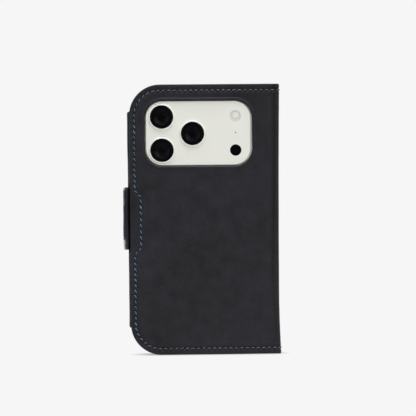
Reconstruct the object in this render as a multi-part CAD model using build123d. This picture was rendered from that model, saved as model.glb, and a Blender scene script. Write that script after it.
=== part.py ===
from build123d import *
import os

# Phone wallet case: a leather folio that stands upright on its short edge.
# Millimetres. X runs from the closing strap to the spine, Z is up, and Y runs from the
# back (camera side, lowest Y) to the front cover (highest Y). The origin is at the middle
# of the bottom of the case's box. "Depth" is the distance behind the back's outer face.

# ---- driving dimensions -------------------------------------------------------------
HEIGHT = 158.5               # closed case, bottom edge to top edge
PANEL_LEFT = -42.2           # free edge of the back and of the front cover
FOLD_X = 43.9                # inner corner of both spine folds
PANEL_RIGHT = FOLD_X - 0.2   # leather of the panels ends just short of the fold
CORNER_R = 18.1              # rounded free corners of both panels

LEATHER = 1.3
BOARD = 0.6
LINING = 0.7
CRADLE_BASE = 0.9
PHONE_DEPTH = 8.75
COVER_AIR = 0.4              # between the phone's screen and the pockets
POCKET = 0.5                 # one card pocket layer
CASH = 0.6
STRAP_GAP = 0.3              # between the strap and what it wraps
STRAP_LEATHER = 1.3
STRAP_LINING = 1.1
FOLD_GAP = 0.3               # between bodies that meet at a fold

# depth of each layer's outer side, counted from the back's outer face
BOARD_AT = LEATHER
LINING_AT = BOARD_AT + BOARD
CRADLE_AT = LINING_AT + LINING
PHONE_AT = CRADLE_AT + CRADLE_BASE
SCREEN_END = PHONE_AT + PHONE_DEPTH
POCKETS_AT = SCREEN_END + COVER_AIR
CASH_AT = POCKETS_AT + 3 * POCKET
FRONT_LINING_AT = CASH_AT + CASH
FRONT_BOARD_AT = FRONT_LINING_AT + LINING
FRONT_AT = FRONT_BOARD_AT + BOARD
FRONT_END = FRONT_AT + LEATHER
TAB_AT = FRONT_END + STRAP_GAP
TOTAL_DEPTH = TAB_AT + STRAP_LINING + STRAP_LEATHER

# camera window in the back
WINDOW_X = -1.54
WINDOW_Z = 129.8
WINDOW_W = 63.1
WINDOW_H = 38.3
WINDOW_R = 10.4

# the phone that the case is made for
PHONE_W = 71.9
PHONE_H = 150.0
PHONE_R = 11.5
PHONE_X = -1.75
PHONE_Z = 79.25
PHONE_EDGE = 2.0             # rounding of the phone's edges
SCREEN_GLASS = 0.6
PLATEAU_AT = 0.75            # plateau's outer face
PLATEAU_X = -1.75            # middle of the raised face
PLATEAU_W = 61.4
PLATEAU_H = 37.7
PLATEAU_R = 9.8
PLATEAU_STEP = 1.9           # depth of the wider foot round the raised face
PLATEAU_GAP = 0.15           # between the foot and the window's edge
PLATEAU_ROUND = 0.5          # rounding of the rim of the raised face
LENS_R = 6.9
LENS_RING_R = 7.6
LENS_POSTS = [(-23.2, 139.4), (-23.1, 119.9), (-5.1, 129.6)]
SPOT_X = 20.2                # flash, microphone and sensor stand in one column
FLASH_Z = 139.9
MIC_Z = 130.0
SENSOR_Z = 119.7
SPOT_R = 3.35
MIC_R = 0.4
SPOT_SINK = 0.4              # how deep the small round parts are set in

KEY_DEPTH = 3.2              # width of a key across the phone's side
KEY_PROUD = 0.5
KEY_SUNK = 0.7
KEY_GAP = 0.1
KEY_TRAVEL_ROOM = 0.6
KEYS = {                     # name: (side of the phone, centre height, length)
    "phone_key_side": (-1, 101.5, 17.0),
    "phone_key_up": (1, 121.0, 10.0),
    "phone_key_down": (1, 108.0, 10.0),
}

CRADLE_FIT = 0.15            # between the phone and the cradle's walls
CRADLE_WALL = 1.15
CRADLE_RISE = 8.4            # how far the walls stand up round the phone
PORT_W = 13.0
SPEAKER_W = 14.0
SPEAKER_X = 20.0             # speaker slots sit this far each side of the port

WELT_OUT = -43.5             # outer face of the navy side welt
WELT_IN = -39.3
WELT_LOW = 15.8
WELT_HIGH = 143.0
WELT_END = 12.3

# closing strap
STRAP_LOW = 61.8
STRAP_HIGH = 98.4
STRAP_IN = -43.8             # inner face of the strap's side leg and its fold line
STRAP_OUT = STRAP_IN - STRAP_LINING - STRAP_LEATHER
TONGUE_IN = -35.9
TAB_END = -17.0
TAB_R = 14.0
BAR_NEAR = 3.6               # the metal bar's two edges, as depths
BAR_FAR = 6.8
BAR_PLATE = 0.5
BAR_LOW_FOOT = 5.6
BAR_HIGH_FOOT = 1.6

# seams
SEAM_SIDE = 2.9              # from the free edge to the seam
SEAM_ENDS = 3.6              # from the top and bottom edges to the seam
SEAM_R = 14.9
JOG = 3.5                    # the seam steps in by this much at the strap
THREAD_W = 0.6
THREAD_SINK = 0.35

MID_Z = HEIGHT / 2
STRAP_MID = (STRAP_LOW + STRAP_HIGH) / 2
STRAP_H = STRAP_HIGH - STRAP_LOW


# ---- helpers ------------------------------------------------------------------------
def row_y(depth):
    """Y of a given depth behind the back's outer face."""
    return depth - TOTAL_DEPTH / 2


def slab(outline, depth, thickness):
    """Stand an XZ outline up at a depth and give it a thickness towards the front."""
    plane = Plane(origin=(0, row_y(depth), 0), x_dir=(1, 0, 0), z_dir=(0, -1, 0))
    return extrude(plane * outline, amount=-thickness)


def block(x_range, depth_range, z_range):
    """A box between two limits along X, depth and Z."""
    size = [b - a for a, b in (x_range, depth_range, z_range)]
    mid = (sum(x_range) / 2, row_y(sum(depth_range) / 2), sum(z_range) / 2)
    return Pos(*mid) * Box(*size)


def disc(x, z, radius, depth, thickness):
    """A round plate facing the back."""
    return slab(Pos(x, z) * Circle(radius), depth, thickness)


def rectangle(left, right, low, high):
    """An XZ rectangle between four limits."""
    return Pos((left + right) / 2, (low + high) / 2) * Rectangle(right - left, high - low)


def left_rounded(left, right, low, high, radius):
    """An XZ rectangle with its two left corners rounded."""
    shape = rectangle(left, right, low, high)
    corners = shape.vertices().sort_by(Axis.X)[:2]
    return fillet(corners, radius)


def panel(inset, right):
    """Outline of a cover panel, drawn in from the leather's edge."""
    return left_rounded(PANEL_LEFT + inset, right, inset, HEIGHT - inset, CORNER_R - inset)


def window(grow):
    """Outline of the camera window, grown on every side."""
    shape = RectangleRounded(WINDOW_W + 2 * grow, WINDOW_H + 2 * grow, WINDOW_R + grow)
    return Pos(WINDOW_X, WINDOW_Z) * shape


def phone_outline(grow):
    """Outline of the phone, grown on every side."""
    shape = RectangleRounded(PHONE_W + 2 * grow, PHONE_H + 2 * grow, PHONE_R + grow)
    return Pos(PHONE_X, PHONE_Z) * shape


def ribbon(path):
    """The flat strip that a seam covers."""
    return trace(path, line_width=THREAD_W)


def panel_seam(jog):
    """Seam along a panel's three free edges, stepping in by jog at the strap."""
    left = PANEL_LEFT + SEAM_SIDE
    points = [
        (PANEL_RIGHT, HEIGHT - SEAM_ENDS),
        (left, HEIGHT - SEAM_ENDS),
        (left, SEAM_ENDS),
        (PANEL_RIGHT, SEAM_ENDS),
    ]
    radii = [SEAM_R, SEAM_R]
    if jog:
        step = [
            (left, STRAP_HIGH - 2.0),
            (left + jog, STRAP_HIGH - 5.8),
            (left + jog, STRAP_LOW + 0.6),
            (left, STRAP_LOW - 2.8),
        ]
        points[2:2] = step
        radii[1:1] = [2.5] * len(step)
    return ribbon(FilletPolyline(*points, radius=radii))


# ---- back half ----------------------------------------------------------------------
def back_leather():
    skin = slab(panel(0, PANEL_RIGHT) - window(0), 0, LEATHER)
    return skin - slab(panel_seam(JOG), 0, THREAD_SINK)


def back_thread():
    return slab(panel_seam(JOG), 0, THREAD_SINK)


def back_board():
    shape = left_rounded(TONGUE_IN, FOLD_X - 3.0, 6.0, HEIGHT - 6.0, 13.0)
    return slab(shape - window(1.0), BOARD_AT, BOARD)


def back_lining():
    notch = rectangle(PANEL_LEFT, TONGUE_IN, STRAP_LOW, STRAP_HIGH)
    return slab(panel(0.4, FOLD_X - 2.4) - window(0.5) - notch, LINING_AT, LINING)


def strap_tongue():
    shape = rectangle(STRAP_IN, TONGUE_IN, STRAP_LOW, STRAP_HIGH)
    return slab(shape, BOARD_AT, BOARD + LINING)


def side_welt():
    shape = rectangle(WELT_OUT, WELT_IN, WELT_LOW, WELT_HIGH)
    shape = chamfer(shape.vertices().sort_by(Axis.X)[:2], 1.0)
    body = slab(shape, CRADLE_AT, WELT_END - CRADLE_AT)
    outer = body.edges().filter_by(Axis.Z).sort_by(Axis.X)[:2]
    return fillet(outer, 0.8)


def cradle():
    outer = phone_outline(CRADLE_FIT + CRADLE_WALL)
    shell = slab(outer, CRADLE_AT, CRADLE_BASE + CRADLE_RISE)
    shell -= slab(phone_outline(CRADLE_FIT), PHONE_AT, CRADLE_RISE)
    shell -= slab(window(0.3), CRADLE_AT, CRADLE_BASE)
    key_mid = PHONE_AT + PHONE_DEPTH / 2
    for side, height, length in KEYS.values():
        wall = PHONE_X + side * PHONE_W / 2
        shell -= block(
            (wall - 3.0, wall + 3.0),
            (key_mid - KEY_DEPTH / 2 - 1.0, key_mid + KEY_DEPTH / 2 + 1.0),
            (height - length / 2 - 2.0, height + length / 2 + 2.0),
        )
    bottom = PHONE_Z - PHONE_H / 2
    for x, width in ((0, PORT_W), (-SPEAKER_X, SPEAKER_W), (SPEAKER_X, SPEAKER_W)):
        shell -= block(
            (PHONE_X + x - width / 2, PHONE_X + x + width / 2),
            (key_mid - 2.4, key_mid + 2.4),
            (bottom - 3.0, bottom + 1.0),
        )
    return shell


# ---- the phone ----------------------------------------------------------------------
def key_block(side, height, length, gap, sink):
    """A key, or with a gap and a deeper sink, the pocket that it moves in."""
    wall = PHONE_X + side * PHONE_W / 2
    mid = PHONE_AT + PHONE_DEPTH / 2
    ends = sorted((wall + side * KEY_PROUD, wall - side * sink))
    half = KEY_DEPTH / 2 + gap
    reach = length / 2 + gap
    return block(ends, (mid - half, mid + half), (height - reach, height + reach))


def phone_key(name):
    side, height, length = KEYS[name]
    body = key_block(side, height, length, 0, KEY_SUNK)
    return fillet(body.edges().filter_by(Axis.X), 1.2)


def phone_body():
    body = slab(phone_outline(0), PHONE_AT, PHONE_DEPTH - SCREEN_GLASS)
    back_rim = body.faces().sort_by(Axis.Y)[0].edges()
    body = fillet(back_rim, PHONE_EDGE)
    for side, height, length in KEYS.values():
        body -= key_block(side, height, length, KEY_GAP, KEY_SUNK + KEY_TRAVEL_ROOM)
    return body


def phone_screen():
    glass = slab(phone_outline(-0.5), SCREEN_END - SCREEN_GLASS, SCREEN_GLASS)
    front_rim = glass.faces().sort_by(Axis.Y)[-1].edges()
    return fillet(front_rim, 0.4)


def phone_plateau():
    face = Pos(PLATEAU_X, WINDOW_Z) * RectangleRounded(PLATEAU_W, PLATEAU_H, PLATEAU_R)
    body = slab(face, PLATEAU_AT, PLATEAU_STEP - PLATEAU_AT)
    body = fillet(body.faces().sort_by(Axis.Y)[0].edges(), PLATEAU_ROUND)
    body += slab(window(-PLATEAU_GAP), PLATEAU_STEP, PHONE_AT - PLATEAU_STEP)
    for z, radius in ((FLASH_Z, SPOT_R), (MIC_Z, MIC_R), (SENSOR_Z, SPOT_R)):
        body -= disc(SPOT_X, z, radius, PLATEAU_AT, SPOT_SINK)
    return body


def lens_ring(x, z):
    ring = disc(x, z, LENS_RING_R, 0, PLATEAU_AT) - disc(x, z, LENS_R, 0, PLATEAU_AT)
    rim = ring.edges().filter_by(GeomType.CIRCLE).sort_by(Axis.Y)[:2].sort_by(SortBy.LENGTH)[-1]
    return fillet(rim, 0.3)


def lens_glass(x, z):
    return disc(x, z, LENS_R, 0.15, PLATEAU_AT - 0.15)


def spot(z, radius):
    return disc(SPOT_X, z, radius, PLATEAU_AT, SPOT_SINK)


# ---- spine --------------------------------------------------------------------------
def spine_leather():
    """Outer side waisted between top and bottom, where the folds spread a little."""
    outer = Spline((46.2, HEIGHT), (45.5, 110.0), (45.1, 42.0), (45.4, 13.0), (46.1, 0))
    rest = Polyline((46.1, 0), (FOLD_X, 0), (FOLD_X, HEIGHT), (46.2, HEIGHT))
    near = LEATHER + FOLD_GAP
    return slab(make_face(outer + rest), near, FRONT_AT - FOLD_GAP - near)


def spine_lining():
    return block((FOLD_X - LINING, FOLD_X), (LEATHER + 0.9, FRONT_AT - 0.9), (0.4, HEIGHT - 0.4))


# ---- front cover --------------------------------------------------------------------
def front_leather():
    skin = slab(panel(0, PANEL_RIGHT), FRONT_AT, LEATHER)
    return skin - slab(panel_seam(0), FRONT_END - THREAD_SINK, THREAD_SINK)


def cover_thread():
    return slab(panel_seam(0), FRONT_END - THREAD_SINK, THREAD_SINK)


def keeper_outline():
    return Pos((STRAP_IN + TAB_END) / 2, STRAP_MID) * RectangleRounded(14.0, 20.0, 3.0)


def front_board():
    shape = left_rounded(PANEL_LEFT + 4.5, FOLD_X - 3.0, 6.0, HEIGHT - 6.0, 13.0)
    return slab(shape - keeper_outline(), FRONT_BOARD_AT, BOARD)


def cover_keeper():
    return slab(keeper_outline(), FRONT_BOARD_AT, BOARD)


def front_lining():
    return slab(panel(0.4, FOLD_X - 2.4), FRONT_LINING_AT, LINING)


def cash_pocket():
    return slab(panel(0.6, 36.5), CASH_AT, CASH)


def card_pocket(number):
    """Three layers, each stepped back towards the free edge; 1 lies on the cash pocket."""
    reach = 30.0 - 9.0 * (number - 1)
    shape = left_rounded(PANEL_LEFT + 0.8, reach, 33.5, 125.0, 3.0)
    return slab(shape, CASH_AT - number * POCKET, POCKET)


# ---- closing strap ------------------------------------------------------------------
def strap_bar():
    """A plate between the strap's layers, with a foot at each end that shows outside."""
    seam = STRAP_IN - STRAP_LINING
    depths = (BAR_NEAR, BAR_FAR)
    plate = block((seam - BAR_PLATE, seam), depths, (STRAP_LOW, STRAP_HIGH))
    low = block((STRAP_OUT, seam), depths, (STRAP_LOW, STRAP_LOW + BAR_LOW_FOOT))
    high = block((STRAP_OUT, seam), depths, (STRAP_HIGH - BAR_HIGH_FOOT, STRAP_HIGH))
    return plate + low + high


def strap_leather():
    seam = STRAP_IN - STRAP_LINING
    depths = (LINING_AT + LINING + FOLD_GAP, FRONT_END)
    return block((STRAP_OUT, seam), depths, (STRAP_LOW, STRAP_HIGH)) - strap_bar()


def strap_lining():
    seam = STRAP_IN - STRAP_LINING
    depths = (LINING_AT + LINING + FOLD_GAP, FRONT_END)
    return block((seam, STRAP_IN), depths, (STRAP_LOW, STRAP_HIGH))


def tab_outline():
    shape = rectangle(STRAP_IN + FOLD_GAP, TAB_END, STRAP_LOW, STRAP_HIGH)
    return fillet(shape.vertices().sort_by(Axis.X)[2:], TAB_R)


def tab_seam():
    low = STRAP_LOW + 2.6
    high = STRAP_HIGH - 2.6
    end = TAB_END - 2.6
    points = [(STRAP_IN + 1.0, high), (end, high), (end, low), (STRAP_IN + 1.0, low)]
    return ribbon(FilletPolyline(*points, radius=TAB_R - 2.6))


def tab_magnet():
    return slab(keeper_outline(), TAB_AT + STRAP_LINING - 0.7, 0.7)


def tab_lining():
    return slab(tab_outline(), TAB_AT, STRAP_LINING) - tab_magnet()


def tab_leather():
    skin = slab(tab_outline(), TAB_AT + STRAP_LINING, STRAP_LEATHER)
    return skin - tab_thread()


def tab_thread():
    return slab(tab_seam(), TOTAL_DEPTH - THREAD_SINK, THREAD_SINK)


# ---- write every sub-part -----------------------------------------------------------
def all_parts():
    parts = {
        "back_leather": back_leather(),
        "back_board": back_board(),
        "back_lining": back_lining(),
        "back_thread": back_thread(),
        "cradle": cradle(),
        "side_welt": side_welt(),
        "strap_tongue": strap_tongue(),
        "phone_body": phone_body(),
        "phone_screen": phone_screen(),
        "phone_plateau": phone_plateau(),
        "phone_flash": spot(FLASH_Z, SPOT_R),
        "phone_mic": spot(MIC_Z, MIC_R),
        "phone_sensor": spot(SENSOR_Z, SPOT_R),
        "spine_leather": spine_leather(),
        "spine_lining": spine_lining(),
        "front_leather": front_leather(),
        "front_board": front_board(),
        "front_lining": front_lining(),
        "cover_thread": cover_thread(),
        "cover_keeper": cover_keeper(),
        "cash_pocket": cash_pocket(),
        "strap_leather": strap_leather(),
        "strap_lining": strap_lining(),
        "strap_bar": strap_bar(),
        "tab_leather": tab_leather(),
        "tab_lining": tab_lining(),
        "tab_magnet": tab_magnet(),
        "tab_thread": tab_thread(),
    }
    for number, (x, z) in enumerate(LENS_POSTS, 1):
        parts[f"phone_lens_ring_{number}"] = lens_ring(x, z)
        parts[f"phone_lens_glass_{number}"] = lens_glass(x, z)
    for name in KEYS:
        parts[name] = phone_key(name)
    for number in (1, 2, 3):
        parts[f"card_pocket_{number}"] = card_pocket(number)
    return parts


os.makedirs("parts", exist_ok=True)
for node, solid in all_parts().items():
    export_step(solid, f"parts/{node}.step")
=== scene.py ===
import bpy
import bmesh
import math
import numpy as np
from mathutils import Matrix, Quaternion, Vector


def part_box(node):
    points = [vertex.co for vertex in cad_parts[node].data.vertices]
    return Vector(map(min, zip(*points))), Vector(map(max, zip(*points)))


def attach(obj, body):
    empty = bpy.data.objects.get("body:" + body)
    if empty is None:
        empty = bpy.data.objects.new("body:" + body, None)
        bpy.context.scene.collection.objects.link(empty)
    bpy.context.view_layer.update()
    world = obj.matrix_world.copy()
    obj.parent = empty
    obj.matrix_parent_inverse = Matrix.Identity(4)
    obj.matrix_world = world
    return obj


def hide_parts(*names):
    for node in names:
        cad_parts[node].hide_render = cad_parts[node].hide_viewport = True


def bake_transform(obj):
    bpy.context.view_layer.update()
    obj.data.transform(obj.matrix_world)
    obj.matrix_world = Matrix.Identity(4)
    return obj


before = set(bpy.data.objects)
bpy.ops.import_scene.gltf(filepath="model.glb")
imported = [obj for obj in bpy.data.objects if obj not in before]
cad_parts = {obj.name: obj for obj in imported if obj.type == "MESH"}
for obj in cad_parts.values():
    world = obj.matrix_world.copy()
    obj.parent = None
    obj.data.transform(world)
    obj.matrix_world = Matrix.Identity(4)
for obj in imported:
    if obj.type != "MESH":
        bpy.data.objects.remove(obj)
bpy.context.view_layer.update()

# The phone wallet case, seen from its camera side. Lengths are millimetres until the place
# functions turn them into the frame's metres.
MM = 0.001


def node_box(node):
    """A CAD node's lowest and highest corners, in millimetres."""
    low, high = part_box(node)
    return np.array(low) / MM, np.array(high) / MM


# ---- measures taken from the frame --------------------------------------------------
BACK_LOW, BACK_HIGH = node_box("back_leather")
FRONT_HIGH = node_box("front_leather")[1]
SPINE_LOW = node_box("spine_leather")[0]
PLATEAU_LOW, PLATEAU_HIGH = node_box("phone_plateau")
THREAD_LOW = node_box("back_thread")[0]
TONGUE_LOW, TONGUE_HIGH = node_box("strap_tongue")
STRAP_LOW, STRAP_HIGH = node_box("strap_leather")
TAB_HIGH = node_box("tab_leather")[1]
TAB_LINING_LOW = node_box("tab_lining")[0]
WELT_LOW, WELT_HIGH = node_box("side_welt")
BOARD_LOW, BOARD_HIGH = node_box("back_board")

LEFT = BACK_LOW[0]
TOP = BACK_HIGH[2]
MID_Z = TOP / 2
BACK_Y = BACK_LOW[1]
FRONT_Y = FRONT_HIGH[1]
CASE_DEPTH = FRONT_Y - BACK_Y
LEATHER = BACK_HIGH[1] - BACK_LOW[1]
BOARD = BOARD_HIGH[1] - BOARD_LOW[1]
LINING = 0.7
CORNER_R = 18.1

# the outer skin rolls round the spine's two folds
ROLL_R = 2.2
ROLL_X = 43.0
ROLL_LENGTH = ROLL_R * math.pi / 2
ROLL_END = ROLL_X + ROLL_LENGTH
SKIN_END = ROLL_END + CASE_DEPTH / 2 - ROLL_R   # unrolled, at mid-spine

# camera window, which stands this far outside the handset's camera plateau
WINDOW_GAP = 0.15
WINDOW_MID = (PLATEAU_LOW + PLATEAU_HIGH)[[0, 2]] / 2
WINDOW_HALF = (PLATEAU_HIGH - PLATEAU_LOW)[[0, 2]] / 2 + WINDOW_GAP
WINDOW_R = 10.4
LIP = 1.95

# seams
THREAD_W = 0.6
SEAM_LEFT = THREAD_LOW[0] + THREAD_W / 2
SEAM_ENDS = THREAD_LOW[2] + THREAD_W / 2
SEAM_R = 14.9
JOG = 3.5
JOG_HIGH = (TONGUE_HIGH[2] - 2.0, TONGUE_HIGH[2] - 5.8)
JOG_LOW = (TONGUE_LOW[2] + 0.6, TONGUE_LOW[2] - 2.8)
PITCH = 3.2
JOG_PITCH = 3.6               # stitches are longer beside the strap
STITCH = 2.1
STITCH_R = 0.34
SLANT = math.radians(13)      # and this much more where a seam runs upright
SLANT_UPRIGHT = math.radians(16)
HOLE_REACH = 0.5


# ---- shapes in the plane ------------------------------------------------------------
def smooth(low, high, value):
    """0 below low, 1 above high, and an S between them."""
    t = np.clip((value - low) / (high - low), 0, 1)
    return t * t * (3 - 2 * t)


def bell(value, width):
    """1 at zero, falling away over about width on each side."""
    return np.exp(-((value / width) ** 2))


def waves(u, z, seed, size):
    """Slow undulation between about -1 and 1, with no direction of its own."""
    rng = np.random.default_rng(seed)
    total = np.zeros_like(np.asarray(u, float))
    for _ in range(7):
        angle, phase = rng.uniform(0, math.tau, 2)
        length = size * rng.uniform(0.7, 1.6)
        total += np.sin((u * math.cos(angle) + z * math.sin(angle)) * math.tau / length + phase)
    return total / 4


def near_line(u, z, start, end):
    """Distance from points to a line between two places."""
    du, dz = end[0] - start[0], end[1] - start[1]
    t = np.clip(((u - start[0]) * du + (z - start[1]) * dz) / (du * du + dz * dz), 0, 1)
    return np.hypot(u - start[0] - t * du, z - start[1] - t * dz)


def panel_field(u, z):
    """Distance outside a cover panel with rounded left corners; it has no right edge."""
    across = LEFT + CORNER_R - u
    up = np.abs(z - MID_Z) - (MID_Z - CORNER_R)
    corner = np.hypot(np.maximum(across, 0), np.maximum(up, 0)) - CORNER_R
    return np.where((across > 0) & (up > 0), corner, np.maximum(across, up) - CORNER_R)


def box_field(u, z, centre, half, radius):
    """Distance outside a rectangle with rounded corners."""
    across = np.abs(u - centre[0]) - (half[0] - radius)
    up = np.abs(z - centre[1]) - (half[1] - radius)
    outside = np.hypot(np.maximum(across, 0), np.maximum(up, 0))
    return outside + np.minimum(np.maximum(across, up), 0) - radius


def span_field(u, z, low, high, radius):
    """The same, between two corners."""
    low, high = np.array(low, float), np.array(high, float)
    return box_field(u, z, (low + high) / 2, (high - low) / 2, radius)


def window_field(u, z):
    return box_field(u, z, WINDOW_MID, WINDOW_HALF, WINDOW_R)


def even_lines(start, end, step):
    count = max(2, round((end - start) / step))
    return np.linspace(start, end, count + 1)


# ---- seam paths ---------------------------------------------------------------------
def rounded_path(points, radii):
    """A polyline with its inner corners rounded, as closely spaced points."""
    points = [np.array(p, float) for p in points]
    out = [points[0]]
    for before, corner, after, radius in zip(points, points[1:], points[2:], radii):
        into = (corner - before) / np.linalg.norm(corner - before)
        away = (after - corner) / np.linalg.norm(after - corner)
        turn = math.acos(np.clip(into @ away, -1, 1))
        side = math.copysign(1, into[0] * away[1] - into[1] * away[0])
        reach = radius * math.tan(turn / 2)
        centre = corner - into * reach + side * radius * np.array([-into[1], into[0]])
        start = corner - into * reach - centre
        for a in np.linspace(0, side * turn, 16):
            spin = np.array([[math.cos(a), -math.sin(a)], [math.sin(a), math.cos(a)]])
            out.append(centre + spin @ start)
    out.append(points[-1])
    return np.array(out)


def spaced(path, pitch):
    """Centres and directions every pitch along a path, starting half a pitch in."""
    steps = np.linalg.norm(np.diff(path, axis=0), axis=1)
    beside_strap = np.abs(path[:, 0] - SEAM_LEFT - JOG) < 0.01
    steps = steps * np.where(beside_strap[1:] & beside_strap[:-1], PITCH / JOG_PITCH, 1.0)
    reach = np.concatenate([[0], np.cumsum(steps)])
    count = round(reach[-1] / pitch)
    at = (np.arange(count) + 0.5) * reach[-1] / count

    def along(spots):
        return np.column_stack([np.interp(spots, reach, path[:, k]) for k in (0, 1)])

    way = along(at + 0.2) - along(at - 0.2)
    return along(at), way / np.linalg.norm(way, axis=1)[:, None]


def panel_seam(jog):
    """The seam from mid-spine at the top, down the free edge, to mid-spine at the bottom."""
    high, low = TOP - SEAM_ENDS, SEAM_ENDS
    corners = [(SEAM_LEFT, high), (SEAM_LEFT, low)]
    radii = [SEAM_R, SEAM_R]
    if jog:
        corners[1:1] = [
            (SEAM_LEFT, JOG_HIGH[0]),
            (SEAM_LEFT + JOG, JOG_HIGH[1]),
            (SEAM_LEFT + JOG, JOG_LOW[0]),
            (SEAM_LEFT, JOG_LOW[1]),
        ]
        radii[1:1] = [2.5] * 4
    return rounded_path([(SKIN_END, high), *corners, (SKIN_END, low)], radii)


class Seam:
    """One row of slanted stitches along a path."""

    def __init__(self, path, slant=SLANT, length=STITCH, seed=3):
        rng = np.random.default_rng(seed)
        self.centres, ways = spaced(path, PITCH)
        self.dense, _ = spaced(path, 0.8)
        count = len(self.centres)
        self.lengths = length * (1 + rng.normal(0, 0.05, count))
        upright = np.abs(ways[:, 1]) ** 2
        angles = np.sign(slant) * (abs(slant) + SLANT_UPRIGHT * upright) + rng.normal(0, 0.07, count)
        self.upright = upright
        c, s = np.cos(angles), np.sin(angles)
        self.ways = np.column_stack([ways[:, 0] * c - ways[:, 1] * s, ways[:, 0] * s + ways[:, 1] * c])
        ends = self.ways * self.lengths[:, None] * HOLE_REACH
        self.holes = np.concatenate([self.centres + ends, self.centres - ends])

    def distances(self, u, z):
        """How far points are from the path and from the nearest hole."""
        points = np.column_stack([np.ravel(u), np.ravel(z)])
        low, high = self.dense.min(axis=0) - 4, self.dense.max(axis=0) + 4
        gaps = np.full(len(points), 99.0)
        holes = np.full(len(points), 99.0)
        near = np.flatnonzero(((points > low) & (points < high)).all(axis=1))
        for part in np.array_split(near, max(1, len(near) // 4000)):
            spot = points[part, None]
            gaps[part] = np.linalg.norm(spot - self.dense[None], axis=2).min(axis=1)
            holes[part] = np.linalg.norm(spot - self.holes[None], axis=2).min(axis=1)
        return gaps.reshape(np.shape(u)), holes.reshape(np.shape(u))

    def relief(self, u, z, channel=0.2, hole=0.75):
        """How far the seam pulls the leather in, with a dimple at each hole."""
        gaps, holes = self.distances(u, z)
        return 0.08 * bell(gaps - 2.1, 0.8) - channel * bell(gaps, 0.85) - hole * bell(holes, 0.42)

    def painted_shade(self, u, z):
        """Painted shade inside the stitch holes."""
        return bell(self.distances(u, z)[1], 0.62)


# ---- from unrolled places to the frame ----------------------------------------------
def spine_waist():
    """How far the spine's outer side stands from the roll's own reach, by height."""
    spots = np.array([v.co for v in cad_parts["spine_leather"].data.vertices]) / MM
    outer = spots[spots[:, 0] > SPINE_LOW[0] + 0.5]
    outer = outer[np.argsort(outer[:, 2])]
    return outer[:, 2], outer[:, 0] - ROLL_X - ROLL_R


WAIST_Z, WAIST_X = spine_waist()


def place_case(side):
    """Places (u, z, n) of the outer skin: n is out of the leather. Side 1 is the back half
    and -1 the front half."""
    def place(u, z, n):
        u, z, n = (np.asarray(a, float) for a in (u, z, n))
        turn = np.clip((u - ROLL_X) / ROLL_R, 0, math.pi / 2)
        past = np.maximum(u - ROLL_END, 0)
        x = np.minimum(u, ROLL_X) + (ROLL_R + n) * np.sin(turn)
        x = x + np.interp(z, WAIST_Z, WAIST_X) * smooth(ROLL_X - 3, ROLL_END, u)
        depth = ROLL_R - (ROLL_R + n) * np.cos(turn) + past
        y = BACK_Y + depth if side > 0 else FRONT_Y - depth
        return np.column_stack([x, y, z]) * MM
    return place


STRAP_R = 3.0
STRAP_OUT = STRAP_LOW[0]
STRAP_NEAR = TONGUE_LOW[1]                 # the strap's outer face where it leaves the back
STRAP_FAR = TAB_HIGH[1]                    # its outer face on the front cover
STRAP_ROOT = 4.9                           # stretch hidden under the back
STRAP_BEND_X = STRAP_OUT + STRAP_R
STRAP_TURN = STRAP_R * math.pi / 2
STRAP_SIDE = STRAP_FAR - STRAP_NEAR - 2 * STRAP_R
STRAP_S = np.cumsum([STRAP_ROOT, STRAP_TURN, STRAP_SIDE, STRAP_TURN, TAB_HIGH[0] - STRAP_BEND_X])
STRAP_MID = STRAP_S[1] + STRAP_SIDE / 2
STRAP_T = TAB_HIGH[1] - TAB_LINING_LOW[1]


def place_strap(s, z, n):
    """Places (s, z, n) of the closing strap, which turns twice round the case's free side."""
    s, z, n = (np.asarray(a, float) for a in (s, z, n))
    first = np.clip((s - STRAP_S[0]) / STRAP_R, 0, math.pi / 2)
    second = np.clip((s - STRAP_S[2]) / STRAP_R, 0, math.pi / 2)
    root = np.maximum(STRAP_S[0] - s, 0)
    up = np.clip(s - STRAP_S[1], 0, STRAP_SIDE)
    over = np.maximum(s - STRAP_S[3], 0)
    reach = STRAP_R + n
    on_front = s > STRAP_MID
    x = STRAP_BEND_X + root + over - np.where(on_front, np.cos(second), np.sin(first)) * reach
    y_back = STRAP_NEAR + STRAP_R - np.cos(first) * reach + up
    y_front = STRAP_FAR - STRAP_R + np.sin(second) * reach - (STRAP_SIDE - up)
    return np.column_stack([x, np.where(on_front, y_front, y_back), z]) * MM


# ---- mesh building ------------------------------------------------------------------
BLOCK = 3
SHARP = math.radians(50)


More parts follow.
